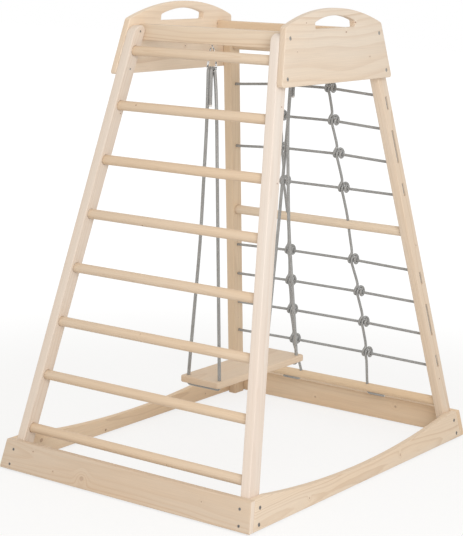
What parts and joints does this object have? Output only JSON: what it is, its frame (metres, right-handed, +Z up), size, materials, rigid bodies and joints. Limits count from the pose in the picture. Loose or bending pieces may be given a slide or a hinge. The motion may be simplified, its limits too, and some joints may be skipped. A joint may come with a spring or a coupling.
{
  "type": "indoor play tower with swing",
  "caption": "Wooden indoor climbing tower: leaning legs, ladder of round rungs, knotted rope climbing net, side plates with hand slots and a hanging plank swing.",
  "frame": {"origin": "middle of the footprint, on the floor", "axes": "+X along the ladder's rungs, +Y from the ladder to the net, +Z up"},
  "size_m": [0.9884, 1.3386, 1.5025],
  "materials": {
    "leg_front_left": "planed pine, clear oil",
    "leg_front_right": "planed pine, clear oil",
    "leg_back_left": "planed pine, clear oil",
    "leg_back_right": "planed pine, clear oil",
    "base_board_front": "planed pine, clear oil",
    "base_board_back": "planed pine, clear oil",
    "base_rail_left": "planed pine, clear oil",
    "base_rail_right": "planed pine, clear oil",
    "side_plate_left": "planed pine, clear oil",
    "side_plate_right": "planed pine, clear oil",
    "top_beam_front": "planed pine, clear oil",
    "top_beam_back": "planed pine, clear oil",
    "rung_1": "turned pine dowel",
    "rung_2": "turned pine dowel",
    "rung_3": "turned pine dowel",
    "rung_4": "turned pine dowel",
    "rung_5": "turned pine dowel",
    "rung_6": "turned pine dowel",
    "rung_7": "turned pine dowel",
    "rung_8": "turned pine dowel",
    "net_bar_top": "turned pine dowel",
    "net_bar_middle": "turned pine dowel",
    "net_bar_bottom": "turned pine dowel",
    "net_cord_upper": "braided polyester cord",
    "net_cord_lower": "braided polyester cord",
    "net_column_left": "braided polyester cord",
    "net_column_right": "braided polyester cord",
    "swing_seat": "planed pine, clear oil",
    "swing_rope_front": "braided polyester rope",
    "swing_eye_front": "zinc plated wire",
    "carabiner_front": "zinc plated wire",
    "carabiner_gate_front": "zinc plated wire",
    "swing_rope_back": "braided polyester rope",
    "swing_eye_back": "zinc plated wire",
    "carabiner_back": "zinc plated wire",
    "carabiner_gate_back": "zinc plated wire",
    "rail_screw_front_left_upper": "dark plated steel",
    "board_screw_front_left_upper": "dark plated steel",
    "plate_bolt_front_left_upper": "dark plated steel",
    "rail_screw_front_left_lower": "dark plated steel",
    "board_screw_front_left_lower": "dark plated steel",
    "plate_bolt_front_left_lower": "dark plated steel",
    "rail_screw_front_right_upper": "dark plated steel",
    "board_screw_front_right_upper": "dark plated steel",
    "plate_bolt_front_right_upper": "dark plated steel",
    "rail_screw_front_right_lower": "dark plated steel",
    "board_screw_front_right_lower": "dark plated steel",
    "plate_bolt_front_right_lower": "dark plated steel",
    "rail_screw_back_left_upper": "dark plated steel",
    "board_screw_back_left_upper": "dark plated steel",
    "plate_bolt_back_left_upper": "dark plated steel",
    "rail_screw_back_left_lower": "dark plated steel",
    "board_screw_back_left_lower": "dark plated steel",
    "plate_bolt_back_left_lower": "dark plated steel",
    "rail_screw_back_right_upper": "dark plated steel",
    "board_screw_back_right_upper": "dark plated steel",
    "plate_bolt_back_right_upper": "dark plated steel",
    "rail_screw_back_right_lower": "dark plated steel",
    "board_screw_back_right_lower": "dark plated steel",
    "plate_bolt_back_right_lower": "dark plated steel"
  },
  "bodies": {
    "frame": {"leg_front_left": "leg_front_left", "leg_front_right": "leg_front_right", "leg_back_left": "leg_back_left", "leg_back_right": "leg_back_right", "base_board_front": "base_board_front", "base_board_back": "base_board_back", "base_rail_left": "base_rail_left", "base_rail_right": "base_rail_right", "side_plate_left": "side_plate_left", "side_plate_right": "side_plate_right", "top_beam_front": "top_beam_front", "top_beam_back": "top_beam_back", "rung_1": "rung_1", "rung_2": "rung_2", "rung_3": "rung_3", "rung_4": "rung_4", "rung_5": "rung_5", "rung_6": "rung_6", "rung_7": "rung_7", "rung_8": "rung_8", "net_bar_top": "net_bar_top", "net_bar_middle": "net_bar_middle", "net_bar_bottom": "net_bar_bottom", "net_cord_upper": "net_cord_upper", "net_cord_lower": "net_cord_lower", "net_column_left": "net_column_left", "net_column_right": "net_column_right", "swing_eye_front": "swing_eye_front", "swing_eye_back": "swing_eye_back", "rail_screw_front_left_upper": "rail_screw_front_left_upper", "board_screw_front_left_upper": "board_screw_front_left_upper", "plate_bolt_front_left_upper": "plate_bolt_front_left_upper", "rail_screw_front_left_lower": "rail_screw_front_left_lower", "board_screw_front_left_lower": "board_screw_front_left_lower", "plate_bolt_front_left_lower": "plate_bolt_front_left_lower", "rail_screw_front_right_upper": "rail_screw_front_right_upper", "board_screw_front_right_upper": "board_screw_front_right_upper", "plate_bolt_front_right_upper": "plate_bolt_front_right_upper", "rail_screw_front_right_lower": "rail_screw_front_right_lower", "board_screw_front_right_lower": "board_screw_front_right_lower", "plate_bolt_front_right_lower": "plate_bolt_front_right_lower", "rail_screw_back_left_upper": "rail_screw_back_left_upper", "board_screw_back_left_upper": "board_screw_back_left_upper", "plate_bolt_back_left_upper": "plate_bolt_back_left_upper", "rail_screw_back_left_lower": "rail_screw_back_left_lower", "board_screw_back_left_lower": "board_screw_back_left_lower", "plate_bolt_back_left_lower": "plate_bolt_back_left_lower", "rail_screw_back_right_upper": "rail_screw_back_right_upper", "board_screw_back_right_upper": "board_screw_back_right_upper", "plate_bolt_back_right_upper": "plate_bolt_back_right_upper", "rail_screw_back_right_lower": "rail_screw_back_right_lower", "board_screw_back_right_lower": "board_screw_back_right_lower", "plate_bolt_back_right_lower": "plate_bolt_back_right_lower"},
    "swing": {"swing_seat": "swing_seat", "swing_rope_front": "swing_rope_front", "swing_rope_back": "swing_rope_back", "carabiner_front": "carabiner_front", "carabiner_back": "carabiner_back"},
    "gate_front": {"carabiner_gate_front": "carabiner_gate_front"},
    "gate_back": {"carabiner_gate_back": "carabiner_gate_back"}
  },
  "joints": [
    {"name": "swing_hinge", "type": "hinge", "parent": "frame", "child": "swing", "pos_m": [0, 0, 1.3515], "axis": [0, 1, 0], "range_deg": [-50, 50]},
    {"name": "gate_front_hinge", "type": "hinge", "parent": "swing", "child": "gate_front", "pos_m": [0.0148, -0.22732, 1.33935], "axis": [0, 1, 0], "range_deg": [0, 20], "stiffness_Nm_per_rad": 0.03, "springref_deg": -8.59},
    {"name": "gate_back_hinge", "type": "hinge", "parent": "swing", "child": "gate_back", "pos_m": [-0.0148, 0.22732, 1.33935], "axis": [0, -1, 0], "range_deg": [0, 20], "stiffness_Nm_per_rad": 0.03, "springref_deg": -8.59}
  ]
}
